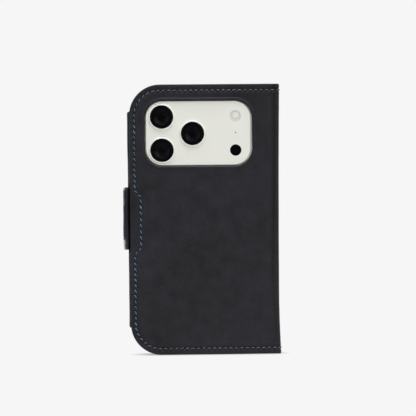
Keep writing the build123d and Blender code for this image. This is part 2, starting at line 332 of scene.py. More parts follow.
def clipped_grid(us, zs, field, fine=None):
    """Cuts a grid to where field is below zero, with the cut along field = 0. Away from the
    cut and from where fine says so, blocks of cells become one face."""
    uu, zz = np.meshgrid(us, zs, indexing="ij")
    f = field(uu, zz)
    step = 1e-4
    gu = (field(uu + step, zz) - f) / step
    gz = (field(uu, zz + step) - f) / step
    cell = np.minimum(np.gradient(us)[:, None], np.gradient(zs)[None, :])
    near = np.abs(f) < 0.3 * cell
    size = np.maximum(gu ** 2 + gz ** 2, 1e-9)
    uu = np.where(near, uu - f * gu / size, uu)
    zz = np.where(near, zz - f * gz / size, zz)
    f = np.where(near, 0.0, f)
    points = np.column_stack([uu.ravel(), zz.ravel()])
    value = f.ravel()
    nz = len(zs)
    cuts, extra, faces = {}, [], []

    def cut(a, b):
        key = (min(a, b), max(a, b))
        if key not in cuts:
            t = value[a] / (value[a] - value[b])
            cuts[key] = len(points) + len(extra)
            extra.append(points[a] * (1 - t) + points[b] * t)
        return cuts[key]

    wide, tall = (len(us) - 1) // BLOCK, (nz - 1) // BLOCK
    plain = np.zeros((wide + 2, tall + 2), bool)
    if fine is not None:
        keep = fine(uu, zz) | (f > -1.0)
        for i in range(wide):
            for j in range(tall):
                block = keep[i * BLOCK:(i + 1) * BLOCK + 1, j * BLOCK:(j + 1) * BLOCK + 1]
                plain[i + 1, j + 1] = not block.any()

    def block_ring(i, j):
        a, b = i * BLOCK, j * BLOCK
        around = plain[i + 1, j], plain[i + 2, j + 1], plain[i + 1, j + 2], plain[i, j + 1]
        sides = (
            [(a + k, b) for k in range(BLOCK)],
            [(a + BLOCK, b + k) for k in range(BLOCK)],
            [(a + BLOCK - k, b + BLOCK) for k in range(BLOCK)],
            [(a, b + BLOCK - k) for k in range(BLOCK)],
        )
        ring = []
        for joined, side in zip(around, sides):
            ring += side[:1] if joined else side
        return tuple(p * nz + q for p, q in ring)

    for i in range(wide):
        for j in range(tall):
            if plain[i + 1, j + 1]:
                faces.append(block_ring(i, j))
    for i in range(len(us) - 1):
        for j in range(nz - 1):
            if i // BLOCK < wide and j // BLOCK < tall and plain[i // BLOCK + 1, j // BLOCK + 1]:
                continue
            ring = (i * nz + j, (i + 1) * nz + j, (i + 1) * nz + j + 1, i * nz + j + 1)
            values = [value[k] for k in ring]
            if min(values) >= 0:
                continue
            if max(values) <= 0:
                faces.append(ring)
                continue
            face = []
            for a, b in zip(ring, ring[1:] + ring[:1]):
                if value[a] <= 0:
                    face.append(a)
                if value[a] * value[b] < 0:
                    face.append(cut(a, b))
            if len(face) >= 3:
                faces.append(tuple(face))
    if extra:
        points = np.vstack([points, extra])
    used = sorted({k for face in faces for k in face})
    renumber = {old: new for new, old in enumerate(used)}
    return points[used], [tuple(renumber[k] for k in face) for face in faces]


def border_edges(faces):
    """Edges with a face on one side only, in their face's direction."""
    seen = {}
    for face in faces:
        for a, b in zip(face, face[1:] + face[:1]):
            key = (min(a, b), max(a, b))
            seen[key] = None if key in seen else (a, b)
    return [edge for edge in seen.values() if edge]


def half_round(reach, steps=8):
    """Rim profile of a burnished edge, as (outward, share of the way to the inner face, extra n)."""
    angles = [math.pi * k / steps for k in range(1, steps)]
    return [(reach * math.sin(a), (1 - math.cos(a)) / 2, 0.0) for a in angles]


def thick_sheet(name, us, zs, field, place, outer, inner, rim, hole=None, flat_at=(), fine=None,
                painted_shade=None):
    """A closed sheet between the outer and inner heights, with a shaped rim.
    hole is (field, rim) of an opening; flat_at are the ends that are cut square."""
    def whole(u, z):
        return np.maximum(field(u, z), -hole[0](u, z)) if hole else field(u, z)

    flat, faces = clipped_grid(us, zs, whole, fine)
    count = len(flat)
    u, z = flat[:, 0], flat[:, 1]
    out_n, in_n = outer(u, z), inner(u, z)
    rows = [np.column_stack([u, z, out_n]), np.column_stack([u, z, in_n])]
    edge_mark = [np.zeros(count), np.zeros(count)]
    total = 2 * count
    borders = border_edges(faces)
    step = 1e-3
    chains = {}
    for k in sorted({k for edge in borders for k in edge}):
        at = flat[k]
        of_hole = hole is not None and abs(hole[0](*at)) < min(0.2, abs(field(*at)))
        shape, profile = (hole[0], hole[1]) if of_hole else (field, rim)
        grad = np.array([
            shape(at[0] + step, at[1]) - shape(at[0] - step, at[1]),
            shape(at[0], at[1] + step) - shape(at[0], at[1] - step),
        ])
        grad = grad / max(np.linalg.norm(grad), 1e-9)
        square = not of_hole and any(abs(at[0] - e) < 1e-6 for e in flat_at)
        if square:
            grad = grad * (abs(field(*at)) < 1e-3) * np.array([0.0, 1.0])
        sign = -1.0 if of_hole else 1.0
        new = []
        for reach, share, extra in profile:
            spot = at + sign * grad * reach
            n = out_n[k] * (1 - share) + in_n[k] * share + (0.0 if square else extra)
            new.append((spot[0], spot[1], n))
        chains[k] = [k, *range(total, total + len(new)), k + count]
        rows.append(np.array(new))
        edge_mark.append(np.full(len(new), 0.0 if of_hole else 1.0))
        total += len(new)
    everything = np.vstack(rows)
    made = [tuple(face) for face in faces]
    made += [tuple(k + count for k in reversed(face)) for face in faces]
    for a, b in borders:
        for k in range(len(chains[a]) - 1):
            made.append((chains[b][k], chains[a][k], chains[a][k + 1], chains[b][k + 1]))
    piece = add_mesh(name, place(everything[:, 0], everything[:, 1], everything[:, 2]), made)
    mark(piece, "edge", np.concatenate(edge_mark))
    # painted shade on the outer face only, where the given mask marks it
    dark = np.zeros(total)
    if painted_shade:
        dark[:count] = painted_shade(u, z)
    mark(piece, "painted_shade", dark)
    return piece


def link_mesh(name, data, work):
    """An object of the worked mesh, smooth except at sharp corners."""
    work.to_mesh(data)
    work.free()
    data.polygons.foreach_set("use_smooth", [True] * len(data.polygons))
    data.set_sharp_from_angle(angle=SHARP)
    piece = bpy.data.objects.new(name, data)
    bpy.context.scene.collection.objects.link(piece)
    return piece


def add_mesh(name, points, faces):
    """A mesh object with its faces turned outwards."""
    data = bpy.data.meshes.new(name)
    data.from_pydata([tuple(p) for p in points], [], faces)
    data.validate()
    work = bmesh.new()
    work.from_mesh(data)
    bmesh.ops.recalc_face_normals(work, faces=work.faces)
    return link_mesh(name, data, work)


def tube_faces(start, rings, sides):
    """Faces of a tube of rings, closed at both ends."""
    faces = []
    for ring in range(rings - 1):
        for k in range(sides):
            a, b = start + ring * sides + k, start + ring * sides + (k + 1) % sides
            faces.append((a, b, b + sides, a + sides))
    faces.append(tuple(range(start, start + sides)))
    faces.append(tuple(range(start + (rings - 1) * sides, start + rings * sides)))
    return faces


def mark(piece, name, values):
    """Writes a number per point for a material to read."""
    layer = piece.data.attributes.new(name, "FLOAT", "POINT")
    layer.data.foreach_set("value", np.asarray(values, np.float32))


def stitch_row(name, place, seam, radius=STITCH_R, sit=0.08):
    """Single stitches of two-ply thread, each diving into its holes at both ends."""
    rings, sides = 13, 12
    t = np.linspace(-1, 1, rings)
    points, faces, painted_highlight = [], [], []
    for centre, way, length, upright in zip(seam.centres, seam.ways, seam.lengths, seam.upright):
        spots = centre + np.outer(t * length / 2, way)
        n = sit - 0.6 * np.abs(t) ** 3.5
        mid = place(spots[:, 0], spots[:, 1], n)
        above = place(spots[:, 0], spots[:, 1], n + 0.5)
        up = (above - mid) / np.linalg.norm(above - mid, axis=1)[:, None]
        along = np.gradient(mid, axis=0)
        along = along / np.linalg.norm(along, axis=1)[:, None]
        across = np.cross(along, up)
        across = across / np.linalg.norm(across, axis=1)[:, None]
        up = np.cross(across, along)
        start = len(points)
        for k in range(rings):
            for j in range(sides):
                a = math.tau * j / sides
                ply = 1 + 0.2 * math.cos(2 * a - 6.5 * t[k])
                r = radius * MM * ply * (1 - 0.3 * abs(t[k]) ** 4)
                points.append(mid[k] + r * (across[k] * math.cos(a) + up[k] * math.sin(a)))
                painted_highlight.append(upright)
        faces += tube_faces(start, rings, sides)
    row = add_mesh(name, points, faces)
    # mask of the thread's painted highlight: how upright each stitch runs
    mark(row, "painted_highlight", painted_highlight)
    return row


def lathe(name, profile, centre, steps=72):
    """Turns an (r, y) profile, in millimetres, round an axis along Y through centre (x, z).
    The profile starts and ends on the axis."""
    points = [(centre[0] * MM, profile[0][1] * MM, centre[1] * MM)]
    for r, y in profile[1:-1]:
        for k in range(steps):
            a = math.tau * k / steps
            points.append(((centre[0] + r * math.cos(a)) * MM, y * MM, (centre[1] + r * math.sin(a)) * MM))
    points.append((centre[0] * MM, profile[-1][1] * MM, centre[1] * MM))
    faces = []
    last = len(points) - 1
    rings = len(profile) - 2
    for k in range(steps):
        ahead = (k + 1) % steps
        faces.append((0, 1 + ahead, 1 + k))
        faces.append((last, 1 + (rings - 1) * steps + k, 1 + (rings - 1) * steps + ahead))
        for ring in range(rings - 1):
            a, b = 1 + ring * steps + k, 1 + ring * steps + ahead
            faces.append((a, b, b + steps, a + steps))
    return add_mesh(name, points, faces)


def round_box(name, boxes, bevel):
    """One piece made of boxes, each between two corners in millimetres, with rounded edges."""
    work = bmesh.new()
    for low, high in boxes:
        low, high = np.array(low, float), np.array(high, float)
        corners = bmesh.ops.create_cube(work, size=1.0)["verts"]
        for v in corners:
            v.co = Vector(((low + high) / 2 + np.array(v.co) * (high - low)) * MM)
    bmesh.ops.bevel(work, geom=list(work.edges), offset=bevel * MM, segments=4, profile=0.5,
                    affect="EDGES", clamp_overlap=True)
    return link_mesh(name, bpy.data.meshes.new(name), work)


# ---- materials ----------------------------------------------------------------------
class Nodes:
    """A short way to write a node material."""

    def __init__(self, name):
        self.material = bpy.data.materials.new(name)
        self.material.use_nodes = True
        self.tree = self.material.node_tree
        self.shader = self.tree.nodes["Principled BSDF"]
        self.place = self.tree.nodes.new("ShaderNodeTexCoord").outputs["Object"]

    def add(self, kind, inputs=None, **settings):
        node = self.tree.nodes.new(kind)
        for key, value in settings.items():
            setattr(node, key, value)
        for key, value in (inputs or {}).items():
            if isinstance(value, bpy.types.NodeSocket):
                self.tree.links.new(value, node.inputs[key])
            else:
                node.inputs[key].default_value = value
        return node

    def noise(self, scale, detail=3.0, rough=0.55, vector=None):
        inputs = {"Vector": vector or self.place, "Scale": scale, "Detail": detail, "Roughness": rough}
        return self.add("ShaderNodeTexNoise", inputs).outputs["Fac"]

    def ramp(self, value, low, high, start=0.3, end=0.7):
        node = self.add("ShaderNodeMapRange", {
            "Value": value, "From Min": start, "From Max": end, "To Min": low, "To Max": high})
        return node.outputs["Result"]

    def colours(self, value, first, second):
        node = self.add("ShaderNodeMix", {"Factor": value}, data_type="RGBA")
        for socket, colour in (("A", first), ("B", second)):
            if isinstance(colour, bpy.types.NodeSocket):
                self.tree.links.new(colour, node.inputs[socket])
            else:
                node.inputs[socket].default_value = (*colour, 1)
        return node.outputs["Result"]

    def maths(self, operation, a, b):
        return self.add("ShaderNodeMath", {0: a, 1: b}, operation=operation).outputs["Value"]

    def blend(self, a, share, b):
        """A weighted sum, with share of b."""
        return self.maths("ADD", self.maths("MULTIPLY", a, 1 - share), self.maths("MULTIPLY", b, share))

    def painted(self, name):
        return self.add("ShaderNodeAttribute", attribute_name=name).outputs["Fac"]

    def bump(self, height, distance, strength, under=None):
        inputs = {"Height": height, "Distance": distance, "Strength": strength}
        if under:
            inputs["Normal"] = under
        return self.add("ShaderNodeBump", inputs).outputs["Normal"]

    def link(self, socket, value):
        self.tree.links.new(value, self.shader.inputs[socket])

    def fix(self, **values):
        for key, value in values.items():
            self.shader.inputs[key.replace("_", " ")].default_value = value


def leather(name, light, dark, edge, grain=0.00055, rough=(0.46, 0.62), relief=0.00006, shine=0.35):
    """Fine-grained leather: pebbled cells, soft mottling, a dark painted edge, and near-black painted shade
    where a piece marks it.
    """
    m = Nodes(name)
    warp = m.add("ShaderNodeTexNoise", {"Vector": m.place, "Scale": 700.0, "Detail": 2.0})
    moved = m.add("ShaderNodeVectorMath", {0: warp.outputs["Color"], 1: (0.0005,) * 3}, operation="MULTIPLY")
    spot = m.add("ShaderNodeVectorMath", {0: m.place, 1: moved.outputs["Vector"]}, operation="ADD")
    cells = m.add("ShaderNodeTexVoronoi", {
        "Vector": spot.outputs["Vector"], "Scale": 1 / grain, "Smoothness": 0.6}, feature="SMOOTH_F1")
    pebble = m.ramp(cells.outputs["Distance"], 1.0, 0.0, 0.1, 0.75)
    pores = m.noise(3200.0, 2.0)
    mottle = m.noise(130.0, 5.0, 0.62)
    cloud = m.noise(24.0, 3.0)
    tone = m.blend(mottle, 0.5, cloud)
    shade = m.colours(m.ramp(tone, 0.0, 1.0, 0.36, 0.64), dark, light)
    deep = [c * 0.4 for c in dark]
    valley = m.colours(m.ramp(pebble, 0.45, 0.0, 0.0, 0.5), shade, deep)
    rim = m.colours(m.painted("edge"), valley, edge)
    # painted shade: the colour goes near-black where the piece marks stitch holes, creases and gaps
    m.link("Base Color", m.colours(m.painted("painted_shade"), rim, [c * 0.1 for c in dark]))
    m.link("Roughness", m.ramp(m.blend(mottle, 0.4, pores), *rough, 0.35, 0.65))
    soft = m.bump(m.noise(420.0, 3.0), 0.00008, 0.4)
    m.link("Normal", m.bump(m.blend(pebble, 0.3, pores), relief, 0.5, soft))
    m.fix(Specular_IOR_Level=shine)
    return m.material


def thread(name, light, dark, painted_highlight):
    """Waxed two-ply thread, with a painted highlight that makes stitches paler where a seam runs upright
    along the free edge.
    """
    m = Nodes(name)
    fibre = m.noise(3000.0, 3.0, 0.7)
    tone = m.noise(160.0, 3.0, 0.6)
    painted_highlight_tone = m.colours(m.painted("painted_highlight"), light, painted_highlight)
    m.link("Base Color", m.colours(m.ramp(m.blend(fibre, 0.55, tone), 0.0, 1.0, 0.38, 0.62), dark, painted_highlight_tone))
    m.link("Roughness", m.ramp(fibre, 0.4, 0.6))
    m.link("Normal", m.bump(fibre, 0.00005, 0.5))
    m.fix(Sheen_Weight=0.15, Sheen_Roughness=0.4)
    return m.material


def metal(name, colour, rough, brush=(1.0, 1.0, 1.0), metallic=1.0):
    """Satin metal with fine lines across it."""
    m = Nodes(name)
    stretched = m.add("ShaderNodeVectorMath", {0: m.place, 1: brush}, operation="MULTIPLY")
    grain = m.noise(1800.0, 3.0, 0.6, stretched.outputs["Vector"])
    cloud = m.noise(90.0, 3.0)
    m.link("Base Color", m.colours(m.ramp(cloud, 0.0, 1.0), [c * 0.9 for c in colour], colour))
    m.link("Roughness", m.ramp(grain, rough - 0.06, rough + 0.08))
    m.link("Normal", m.bump(grain, 0.00002, 0.25))
    m.fix(Metallic=metallic)
    return m.material


def blasted(name, colour, metallic=0.3):
    """Bead-blasted handset metal, warm white and very even."""
    m = Nodes(name)
    speck = m.noise(5200.0, 2.0)
    cloud = m.noise(40.0, 2.0)
    m.link("Base Color", m.colours(m.ramp(cloud, 0.0, 1.0), [c * 0.985 for c in colour], colour))
    m.link("Roughness", m.ramp(speck, 0.4, 0.5))
    m.link("Normal", m.bump(speck, 0.00001, 0.2))
    m.fix(Metallic=metallic, Specular_IOR_Level=0.5)
    return m.material


def plastic(name, colour, rough, speck_size=1500.0, coat=0.0, shine=0.5):
    """Moulded plastic with a fine spark-eroded texture."""
    m = Nodes(name)
    speck = m.noise(speck_size, 3.0, 0.6)
    cloud = m.noise(60.0, 2.0)
    m.link("Base Color", m.colours(m.ramp(cloud, 0.0, 1.0), [c * 0.8 for c in colour], colour))
    m.link("Roughness", m.ramp(speck, rough - 0.05, rough + 0.07))
    m.link("Normal", m.bump(speck, 0.00002, 0.25))
    m.fix(Coat_Weight=coat, Coat_Roughness=0.02, Specular_IOR_Level=shine)
    return m.material


def flash_glass(name, warm, ring):
    """Faceted diffuser glass, warm in the middle and grey at its ring."""
    m = Nodes(name)
    facets = m.add("ShaderNodeTexVoronoi", {"Vector": m.place, "Scale": 1500.0}).outputs["Distance"]
    cloud = m.noise(500.0, 2.0)
    heart = m.colours(m.ramp(cloud, 0.0, 1.0), warm, [c * 1.05 for c in warm])
    m.link("Base Color", m.colours(m.painted("edge"), heart, ring))
    m.link("Roughness", m.ramp(facets, 0.2, 0.4, 0.0, 0.6))
    m.link("Normal", m.bump(facets, 0.00004, 0.3))
    m.fix(Specular_IOR_Level=0.5)
    return m.material


BLACK = leather("black_leather", (0.0175, 0.0155, 0.0215), (0.0062, 0.0056, 0.0082), (0.005, 0.0065, 0.012),
                shine=0.27)
STRAP_BLUE = leather("strap_leather", (0.014, 0.017, 0.027), (0.006, 0.0075, 0.013), (0.003, 0.004, 0.008),
                     shine=0.36)
NAVY = leather("navy_leather", (0.009, 0.012, 0.021), (0.006, 0.008, 0.015), (0.004, 0.005, 0.008),
               grain=0.0007, rough=(0.5, 0.66), relief=0.00004, shine=0.25)
# the third colour is the painted highlight on stitches where a seam runs upright
THREAD_BLUE = thread("blue_thread", (0.06, 0.085, 0.115), (0.02, 0.032, 0.05), (0.11, 0.22, 0.37))
STEEL = metal("satin_steel", (0.78, 0.78, 0.77), 0.42, (1.0, 1.0, 0.08), 0.45)
HANDSET = blasted("handset_silver", (0.86, 0.862, 0.80))
CRADLE = plastic("cradle_black", (0.022, 0.022, 0.024), 0.5)
BOARD_GREY = plastic("board", (0.42, 0.36, 0.28), 0.8, 700.0)
MAGNET = plastic("sheet_magnet", (0.05, 0.045, 0.04), 0.7, 900.0)
SCREEN = plastic("screen_glass", (0.006, 0.006, 0.008), 0.08, 400.0, 1.0)
LENS = plastic("lens_black", (0.0012, 0.0015, 0.0022), 0.34, 500.0, 0.0, 0.06)
MIC = plastic("mic_black", (0.03, 0.03, 0.03), 0.6)
FLASH = flash_glass("flash_lens", (0.80, 0.70, 0.50), (0.62, 0.64, 0.63))


def finish_with(piece, material):
    """Gives a piece one material, in its only slot."""
    piece.data.materials.clear()
    piece.data.materials.append(material)
    return piece


# ---- outer leather ------------------------------------------------------------------
RIM_R = 0.62
GRID = 0.42
SHOULDER = 1.0               # the window's edge rolls in over this width
RIDGE = 0.32                 # and stands this far proud before it does


def window_rim():
    """The leather rises a little beside the window, then rolls down to its raw edge."""
    ridge = [(0.2, 0.0, 0.02), (0.4, 0.0, 0.09), (0.6, 0.0, 0.2), (0.8, 0.0, 0.3), (0.95, 0.0, RIDGE)]
    roll = []
    for t in (0.08, 0.16, 0.28, 0.4, 0.52, 0.64, 0.75, 0.85, 0.93, 0.98, 1.0):
        drop = LEATHER * (1 - math.sqrt(1 - t * t))
        roll.append((LIP - SHOULDER + SHOULDER * t, 0.0, RIDGE - drop))
    under = [(LIP - 0.1, 1.0, 0.0), (LIP - 0.8, 1.0, 0.0), (LIP - 1.4, 1.0, 0.0)]
    return ridge + roll + under


def groove_line(z):
    """Where the pressed crease beside the spine runs, by height."""
    return np.interp(z, (0, 12, 44, 62, 84, 130, TOP), (43.2, 43.0, 41.6, 41.8, 42.4, 42.7, 42.8))


def groove(u, z):
    """The pressed crease where the panel's board ends."""
    strength = np.interp(z, (0, 12, 40, 90, TOP), (0.15, 0.4, 0.55, 0.95, 1.0))
    off = u - groove_line(z)
    return strength * np.where(off < 0, bell(off, 1.8), bell(off, 1.0))


CREASES = [                  # short wrinkles where the top seam crosses into the spine
    ((39.8, 150.6), (41.6, 153.6)), ((41.4, 158.0), (42.2, 155.6)), ((42.4, 155.2), (43.9, 152.6)),
    ((43.2, 157.6), (44.0, 155.4)), ((40.4, 156.6), (41.4, 154.6)),
]


def skin_heights(side, seam):
    """Outer and inner heights of half of the case's leather."""
    def outer(u, z):
        edge = -panel_field(u, z)
        calm = smooth(0.0, 9.0, edge)
        on_spine = smooth(ROLL_X + 1, ROLL_END + 1, u)
        across = side * (SKIN_END - u)
        slow = (0.11 * waves(u, z, 11 + side, 46.0) * (1 - on_spine)
                + 0.05 * waves(across, z, 8, 30.0) * on_spine)
        fine = (0.02 * waves(u, z, 5 + side, 6.5) * (1 - on_spine)
                + 0.015 * waves(across, z, 9, 6.0) * on_spine)
        pillow = 0.10 * smooth(1.0, 8.0, edge) - 0.10
        hollow = -0.22 * smooth(ROLL_END, SKIN_END, u)
        wrinkle = 0.06 * waves(u, z, 21, 3.2) * bell(u - ROLL_X - 0.4, 2.4) * smooth(80, 150, z)
        pinch = sum(-0.3 * bell(near_line(u, z, *line), 0.4) for line in CREASES) if side > 0 else 0.0
        return (seam.relief(u, z) + (slow + fine) * calm + pillow + hollow + wrinkle + pinch
                - 0.7 * groove(u, z))

    def inner(u, z):
        return np.full_like(np.asarray(u, float), -LEATHER)

    return outer, inner


def bend_round_spine(piece, side):
    """Bakes a piece's placement into its mesh; both halves are treated alike."""
    if side > 0:
        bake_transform(piece)
    else:
        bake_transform(piece)


def case_half(side):
    """Leather and stitches of the back half (side 1) or the front half (side -1)."""
    word = "back" if side > 0 else "front"
    seam = Seam(panel_seam(side > 0), SLANT * side)
    outer, inner = skin_heights(side, seam)
    hole = (lambda u, z: window_field(u, z) - LIP, window_rim()) if side > 0 else None

    def fine(u, z):
        detail = (seam.distances(u, z)[0] < 2.2) | (np.abs(u - 43.6) < 3.6) | (panel_field(u, z) > -2.5)
        return detail | (window_field(u, z) < LIP + 1.3) if side > 0 else detail

    def painted_shade(u, z):
        # painted shade in the stitch holes, in the pressed crease beside the spine and in the wrinkles at
        # the top
        dark = np.maximum(0.95 * seam.painted_shade(u, z), 0.97 * groove(u, z))
        folds = [0.7 * bell(near_line(u, z, *line), 0.35) for line in CREASES] if side > 0 else []
        return np.maximum.reduce([dark, *folds])

    us = even_lines(LEFT, SKIN_END, GRID)
    zs = even_lines(0.0, TOP, GRID)
    skin = thick_sheet(
        f"{word}_skin", us, zs, lambda u, z: panel_field(u, z) + RIM_R, place_case(side),
        outer, inner, half_round(RIM_R), hole, (SKIN_END,), fine, painted_shade)
    finish_with(skin, BLACK)
    rows = stitch_row(f"{word}_stitches", place_case(side), seam)
    finish_with(rows, THREAD_BLUE)
    bend_round_spine(skin, side)
    bend_round_spine(rows, side)
    return skin, rows


back_skin, back_stitches = case_half(1)
front_skin, front_stitches = case_half(-1)
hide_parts("back_leather", "spine_leather")
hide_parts("front_leather")
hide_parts("back_thread")
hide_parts("cover_thread")


# ---- side welt ----------------------------------------------------------------------
def side_welt():
    """Padded navy welt beside the phone; it tapers at both ends and gives way to the strap."""
    mid = (WELT_LOW + WELT_HIGH) / 2
    half = (WELT_HIGH - WELT_LOW) / 2
    heights = np.concatenate([
        WELT_LOW[2] + np.array([0.0, 0.15, 0.5, 1.0]),
        np.linspace(WELT_LOW[2] + 2.0, WELT_HIGH[2] - 2.0, 150),
        WELT_HIGH[2] - np.array([1.0, 0.5, 0.15, 0.0]),
    ])
    lean = np.interp(heights, (16, 30, 60, 104, 120, 143), (0.25, 0.45, 0.35, 0.3, 0.0, 0.0))
    sides = 40
    points = []
    for z, inward in zip(heights, lean):
        end = min(z - WELT_LOW[2], WELT_HIGH[2] - z)
        taper = 1.0 - 0.28 * (1 - min(end, 1.0)) ** 2
        swell = 0.05 * math.sin(z / 9.0) + 0.04 * math.sin(z / 3.7 + 2)
        notch = smooth(TONGUE_LOW[2] - 2.5, TONGUE_LOW[2] - 0.5, z) * smooth(
            -TONGUE_HIGH[2] - 2.5, -TONGUE_HIGH[2] - 0.5, -z)
        for k in range(sides):
            a = math.tau * k / sides
            c, s = math.cos(a), math.sin(a)
            x = math.copysign(abs(c) ** 0.45, c) * half[0]
            y = mid[1] + math.copysign(abs(s) ** 0.45, s) * half[1]
            outer = c < 0
            x = WELT_HIGH[0] - (WELT_HIGH[0] - (mid[0] + x + (swell + inward) * outer)) * taper
            y = max(y, WELT_LOW[1] + 2.4 * notch)
            points.append((x * MM, y * MM, z * MM))
    welt = add_mesh("side_welt_leather", points, tube_faces(0, len(heights), sides))
    finish_with(welt, NAVY)
    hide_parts("side_welt")
    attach(welt, "back")


side_welt()


# ---- closing strap ------------------------------------------------------------------
STRAP_Z_LOW, STRAP_Z_HIGH = TONGUE_LOW[2], TONGUE_HIGH[2]
STRAP_Z_MID = (STRAP_Z_LOW + STRAP_Z_HIGH) / 2
TAB_R = 14.0
STRAP_RIM = 0.55
LINING_INSET = 0.25
STRAP_LEATHER = 1.3
TAB_SEAM = 2.6


def strap_field(s, z, inset=0.0):
    """Distance outside the strap's outline, which ends in a rounded tab."""
    across = s - (STRAP_S[4] - TAB_R)
    up = np.abs(z - STRAP_Z_MID) - ((STRAP_Z_HIGH - STRAP_Z_LOW) / 2 - TAB_R)
    radius = TAB_R - inset
    corner = np.hypot(np.maximum(across, 0), np.maximum(up, 0)) - radius
    return np.where((across > 0) & (up > 0), corner, np.maximum(across, up) - radius)


def strap_shift(s):
    """How far both faces of the strap dip behind the panel's edge, with a crest beside the dip."""
    dip = -1.6 * bell(s - 3.9, 0.9)
    return dip + 0.3 * bell(s - 5.4, 0.5) - 0.25 * bell(s - 6.5, 0.6) + 0.05 * bell(s - 7.6, 0.5)


def strap_outer(s, z):
    """The strap bulges at mid-height and is cut away over the metal bar's two feet."""
    on_side = smooth(STRAP_S[0] + 1, STRAP_S[1] - 1, s) * (1 - smooth(STRAP_S[1] + 4, STRAP_S[2], s))
    low_foot = 1 - smooth(66.0, 70.2, z)
    high_foot = smooth(96.4, 97.2, z)
    waist = bell(z - 89.6, 1.8)
    upper = smooth(88.5, 91.0, z)
    draw = 1.2 * np.maximum(low_foot, high_foot) + (0.42 * waist + 0.22 * upper) * (1 - high_foot)
    ripple = 0.09 * waves(s, z, 31, 9.0) * smooth(STRAP_S[0], STRAP_S[1], s)
    return strap_shift(s) - draw * on_side + ripple - 0.03


def strap_inner(s, z):
    """The leather's inner face, where the lining starts."""
    return strap_shift(s) - STRAP_LEATHER


def strap_seam():
    """The seam round the tab's rounded end."""
    low, high = STRAP_Z_LOW + TAB_SEAM, STRAP_Z_HIGH - TAB_SEAM
    end = STRAP_S[4] - TAB_SEAM
    start = STRAP_S[3] + 0.6
    radius = TAB_R - TAB_SEAM
    return rounded_path([(start, high), (end, high), (end, low), (start, low)], [radius, radius])


def strap_piece(name, low_s, high_s, top, bottom, inset, material, painted_shade=None):
    """One layer of the strap between two places along it."""
    us = even_lines(low_s, high_s, GRID)
    zs = even_lines(STRAP_Z_LOW, STRAP_Z_HIGH, GRID)
    flat_at = (low_s, high_s) if high_s < STRAP_S[4] else (low_s,)
    piece = thick_sheet(name, us, zs, lambda s, z: strap_field(s, z, inset) + STRAP_RIM, place_strap,
                        top, bottom, half_round(STRAP_RIM), None, flat_at, None, painted_shade)
    return finish_with(piece, material)


def strap():
    """Leather and lining of the strap's root and of its tab, which meet half-way round the side."""
    seam = Seam(strap_seam(), -SLANT, seed=4)

    def tab_outer(s, z):
        return strap_outer(s, z) + seam.relief(s, z)

    def lining_bottom(s, z):
        grow = smooth(STRAP_S[0] + 0.5, STRAP_S[1], s)
        return strap_inner(s, z) - 0.35 - (STRAP_T - STRAP_LEATHER - 0.35) * grow

    # painted shade in the gap where the strap dips behind the panel's edge, and in the valley beside its
    # crest
    def painted_gap_shade(s, z):
        return 0.95 * bell(s - 3.7, 1.0) + 0.5 * bell(s - 6.5, 0.5)

    root = strap_piece("strap_root", 0.0, STRAP_MID, strap_outer, strap_inner, 0, STRAP_BLUE,
                       painted_gap_shade)
    tab = strap_piece("strap_tab", STRAP_MID, STRAP_S[4], tab_outer, strap_inner, 0, BLACK,
                      seam.painted_shade)
    root_lining = strap_piece("strap_root_lining", STRAP_S[0] + 1.0, STRAP_MID, strap_inner, lining_bottom,
                              LINING_INSET, NAVY)
    tab_lining = strap_piece("strap_tab_lining", STRAP_MID, STRAP_S[4], strap_inner, lining_bottom,
                             LINING_INSET, NAVY)
    rows = stitch_row("strap_stitches", place_strap, seam)
    finish_with(rows, THREAD_BLUE)
    for piece in (root, root_lining):
        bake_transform(piece)
    for piece in (tab, tab_lining):
        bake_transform(piece)
    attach(rows, "tab")
    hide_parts("strap_tongue", "strap_leather")
    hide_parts("strap_lining")
    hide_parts("tab_leather")
    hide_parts("tab_lining")
    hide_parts("tab_thread")


def strap_bar():
    """The metal bar inside the strap, with its two feet showing outside."""
    low, high = node_box("strap_bar")
    plate_in, foot_low, foot_high = 0.5, 5.6, 1.6
    bar = round_box("strap_bar_metal", [
        ((high[0] - plate_in, low[1], low[2]), high),
        (low, (high[0], high[1], low[2] + foot_low)),
        ((low[0], low[1], high[2] - foot_high), high),
    ], 0.22)
    finish_with(bar, STEEL)
    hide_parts("strap_bar")
    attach(bar, "strap")


strap()
strap_bar()


# ---- linings and pockets ------------------------------------------------------------
SOFT_RIM = 0.24
BOARD_R = 13.0               # rounded corners of the boards
LINING_INSET_CASE = 0.4
CARD_POCKET_R = 3.0


def board_lift(u, z, left):
    """1 where the lining lies on the panel's board, 0 where it lies on the leather."""
    edge = span_field(u, z, (left, BOARD_LOW[2]), (BOARD_HIGH[0], BOARD_HIGH[2]), BOARD_R)
    return 1 - smooth(-0.2, 1.6, edge)


